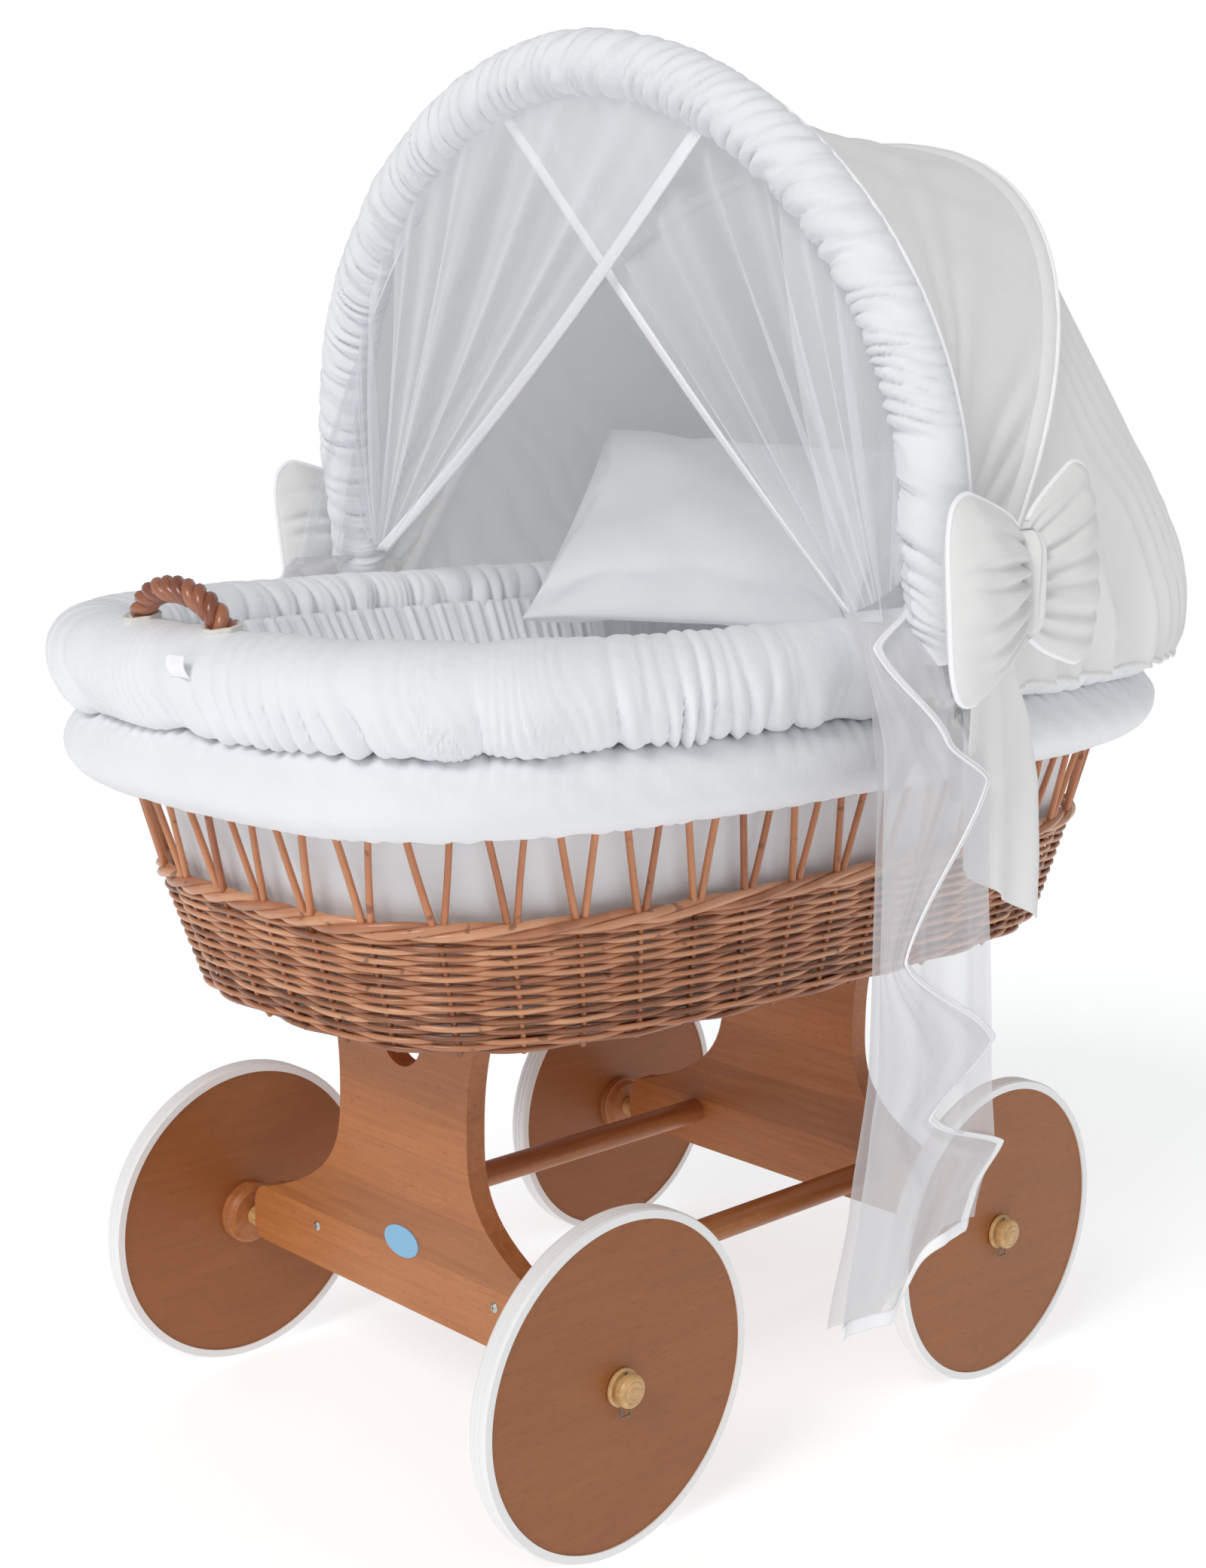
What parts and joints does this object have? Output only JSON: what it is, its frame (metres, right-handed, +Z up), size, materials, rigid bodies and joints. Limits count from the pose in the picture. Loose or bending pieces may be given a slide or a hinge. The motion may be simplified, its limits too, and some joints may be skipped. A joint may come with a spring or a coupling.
{
  "type": "baby cradle",
  "caption": "Wheeled wicker baby cradle with a wooden stand, padded nest, bedding and a folding fabric hood with side bows and sheer curtains.",
  "frame": {"origin": "on the floor, under the middle of the whole cradle's length and width", "axes": "+X towards the hood (head) end, +Y towards the far side, +Z up"},
  "size_m": [1.124, 0.8604, 1.2098],
  "materials": {
    "stained_beech": "satin lacquer over red-brown stain, long grain and lamination lines",
    "stained_plywood": "satin lacquer over red-brown stain, fine birch figure",
    "pale_beech": "clear lacquer, turned",
    "bent_beech": "plain, hidden in the padding",
    "stained_willow": "stained and lacquered willow rods",
    "willow_rope": "twisted stained willow, glossy",
    "white_rubber": "matt, ribbed tread",
    "zinc_steel": "zinc plated",
    "badge_blue": "plain pale blue, no mark",
    "white_cotton": "plain weave cotton, gathered and padded",
    "bedding_cotton": "plain weave cotton, lightly creased",
    "mattress_cover": "quilted cotton",
    "white_voile": "sheer voile with taped edges"
  },
  "bodies": {
    "frame": {"foot_board": "stained_beech", "head_board": "stained_beech", "near_stretcher": "stained_beech", "far_stretcher": "stained_beech", "stretcher_screws": "zinc_steel", "axles": "zinc_steel", "axle_spacers": "pale_beech", "axle_caps": "pale_beech", "axle_clips": "zinc_steel", "badge_plate": "badge_blue", "basket_base": "stained_willow", "basket_weave": "stained_willow", "basket_border": "stained_willow", "basket_stakes": "stained_willow", "basket_rim": "stained_willow", "basket_screws": "zinc_steel", "foot_handle": "willow_rope", "head_handle": "willow_rope", "bumper_roll": "white_cotton", "nest_roll": "white_cotton", "nest_liner": "white_cotton", "mattress": "mattress_cover", "duvet": "bedding_cotton", "pillow": "bedding_cotton", "fabric_tag": "white_cotton", "hood_brackets": "zinc_steel", "hood_bolts": "zinc_steel", "hood_washers": "zinc_steel", "hood_sleeves": "zinc_steel"},
    "hood_front": {"front_hoop": "bent_beech", "front_hoop_lugs": "zinc_steel", "front_hoop_padding": "white_cotton", "near_curtain": "white_voile", "far_curtain": "white_voile", "near_bow": "white_cotton", "far_bow": "white_cotton", "near_bow_tail": "white_cotton", "far_bow_tail": "white_cotton", "near_veil_tail": "white_voile", "far_veil_tail": "white_voile", "hood_front_panel": "white_cotton"},
    "hood_rear": {"rear_rib": "bent_beech", "rear_rib_lugs": "zinc_steel", "hood_rear_panel": "white_cotton"},
    "foot_near_wheel": {"foot_near_disc": "stained_plywood", "foot_near_tyre": "white_rubber", "foot_near_hub": "stained_beech"},
    "foot_far_wheel": {"foot_far_disc": "stained_plywood", "foot_far_tyre": "white_rubber", "foot_far_hub": "stained_beech"},
    "head_near_wheel": {"head_near_disc": "stained_plywood", "head_near_tyre": "white_rubber", "head_near_hub": "stained_beech"},
    "head_far_wheel": {"head_far_disc": "stained_plywood", "head_far_tyre": "white_rubber", "head_far_hub": "stained_beech"}
  },
  "joints": [
    {"name": "foot_near_spin", "type": "hinge", "parent": "frame", "child": "foot_near_wheel", "pos_m": [-0.30152, -0.2545, 0.145], "axis": [0, 1, 0], "continuous": true},
    {"name": "foot_far_spin", "type": "hinge", "parent": "frame", "child": "foot_far_wheel", "pos_m": [-0.30152, 0.2545, 0.145], "axis": [0, 1, 0], "continuous": true},
    {"name": "head_near_spin", "type": "hinge", "parent": "frame", "child": "head_near_wheel", "pos_m": [0.19848, -0.2545, 0.145], "axis": [0, 1, 0], "continuous": true},
    {"name": "head_far_spin", "type": "hinge", "parent": "frame", "child": "head_far_wheel", "pos_m": [0.19848, 0.2545, 0.145], "axis": [0, 1, 0], "continuous": true},
    {"name": "hood_fold", "type": "hinge", "parent": "frame", "child": "hood_front", "pos_m": [-0.05652, 0, 0.667], "axis": [0, 1, 0], "range_deg": [0, 60], "deforming": ["front_hoop_padding", "hood_front_panel", "near_curtain", "far_curtain", "near_bow_tail", "far_bow_tail", "near_veil_tail", "far_veil_tail"]},
    {"name": "rib_fold", "type": "hinge", "parent": "frame", "child": "hood_rear", "pos_m": [-0.05652, 0, 0.667], "axis": [0, 1, 0], "range_deg": [0, 33], "deforming": ["hood_rear_panel"]}
  ],
  "couplings": [
    {"joint": "rib_fold", "follows": "hood_fold", "ratio": 0.55}
  ]
}
